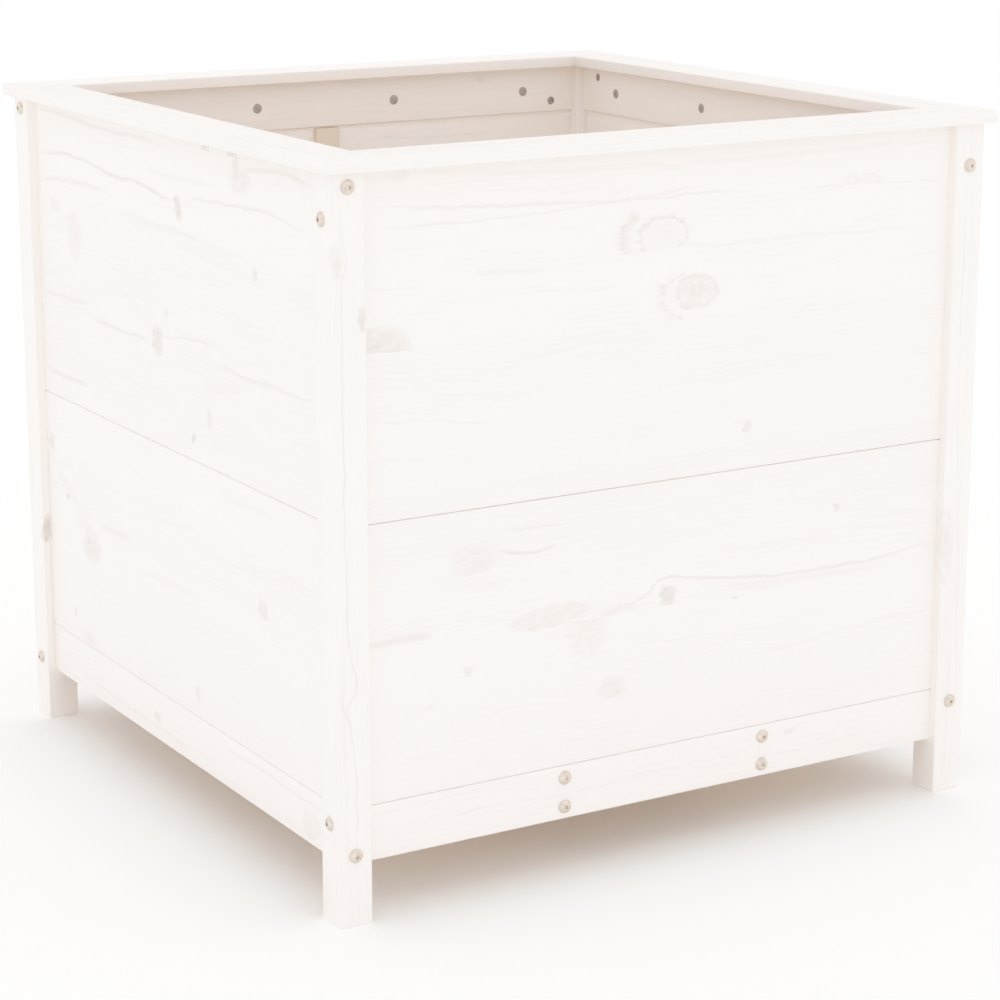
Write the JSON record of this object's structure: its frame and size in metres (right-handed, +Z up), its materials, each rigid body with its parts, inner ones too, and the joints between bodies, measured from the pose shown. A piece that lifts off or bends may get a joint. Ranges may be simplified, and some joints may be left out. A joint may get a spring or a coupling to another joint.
{
  "type": "planter box",
  "caption": "Square open-topped timber planter box with corner posts, tongued board panels, a flat mitred cap and a slatted floor.",
  "frame": {"origin": "middle of the footprint, on the ground that the four posts stand on", "axes": "+Z up through the open top, +X along the front side, -Y out of the front side"},
  "size_m": [0.825, 0.825, 0.78],
  "materials": {
    "posts": "white water-based paint on planed pine",
    "panels": "white water-based paint on edge-glued pine boards, grain and knots showing through",
    "cap": "white water-based paint on planed pine",
    "inner_timber": "thin white paint on planed pine",
    "bolts": "satin zinc plate"
  },
  "bodies": {
    "root": {"post_front_left": "posts", "post_front_right": "posts", "post_back_right": "posts", "post_back_left": "posts", "front_bottom_rail": "panels", "front_lower_board": "panels", "front_upper_board": "panels", "front_top_rail": "panels", "front_cap_board": "cap", "front_centre_batten": "inner_timber", "front_bottom_bolt_left": "bolts", "front_bottom_bolt_right": "bolts", "front_top_bolt_left": "bolts", "front_top_bolt_right": "bolts", "right_bottom_rail": "panels", "right_lower_board": "panels", "right_upper_board": "panels", "right_top_rail": "panels", "right_cap_board": "cap", "right_centre_batten": "inner_timber", "right_bottom_bolt_left": "bolts", "right_bottom_bolt_right": "bolts", "right_top_bolt_left": "bolts", "right_top_bolt_right": "bolts", "back_bottom_rail": "panels", "back_lower_board": "panels", "back_upper_board": "panels", "back_top_rail": "panels", "back_cap_board": "cap", "back_centre_batten": "inner_timber", "back_bottom_bolt_left": "bolts", "back_bottom_bolt_right": "bolts", "back_top_bolt_left": "bolts", "back_top_bolt_right": "bolts", "left_bottom_rail": "panels", "left_lower_board": "panels", "left_upper_board": "panels", "left_top_rail": "panels", "left_cap_board": "cap", "left_centre_batten": "inner_timber", "left_bottom_bolt_left": "bolts", "left_bottom_bolt_right": "bolts", "left_top_bolt_left": "bolts", "left_top_bolt_right": "bolts", "floor_beam_left": "inner_timber", "floor_beam_left_bolt_front_upper": "bolts", "floor_beam_left_bolt_front_lower": "bolts", "floor_beam_left_bolt_back_upper": "bolts", "floor_beam_left_bolt_back_lower": "bolts", "floor_beam_right": "inner_timber", "floor_beam_right_bolt_front_upper": "bolts", "floor_beam_right_bolt_front_lower": "bolts", "floor_beam_right_bolt_back_upper": "bolts", "floor_beam_right_bolt_back_lower": "bolts", "floor_slat_1": "inner_timber", "floor_slat_2": "inner_timber", "floor_slat_3": "inner_timber", "floor_slat_4": "inner_timber", "floor_slat_5": "inner_timber", "floor_slat_6": "inner_timber"}
  },
  "joints": []
}
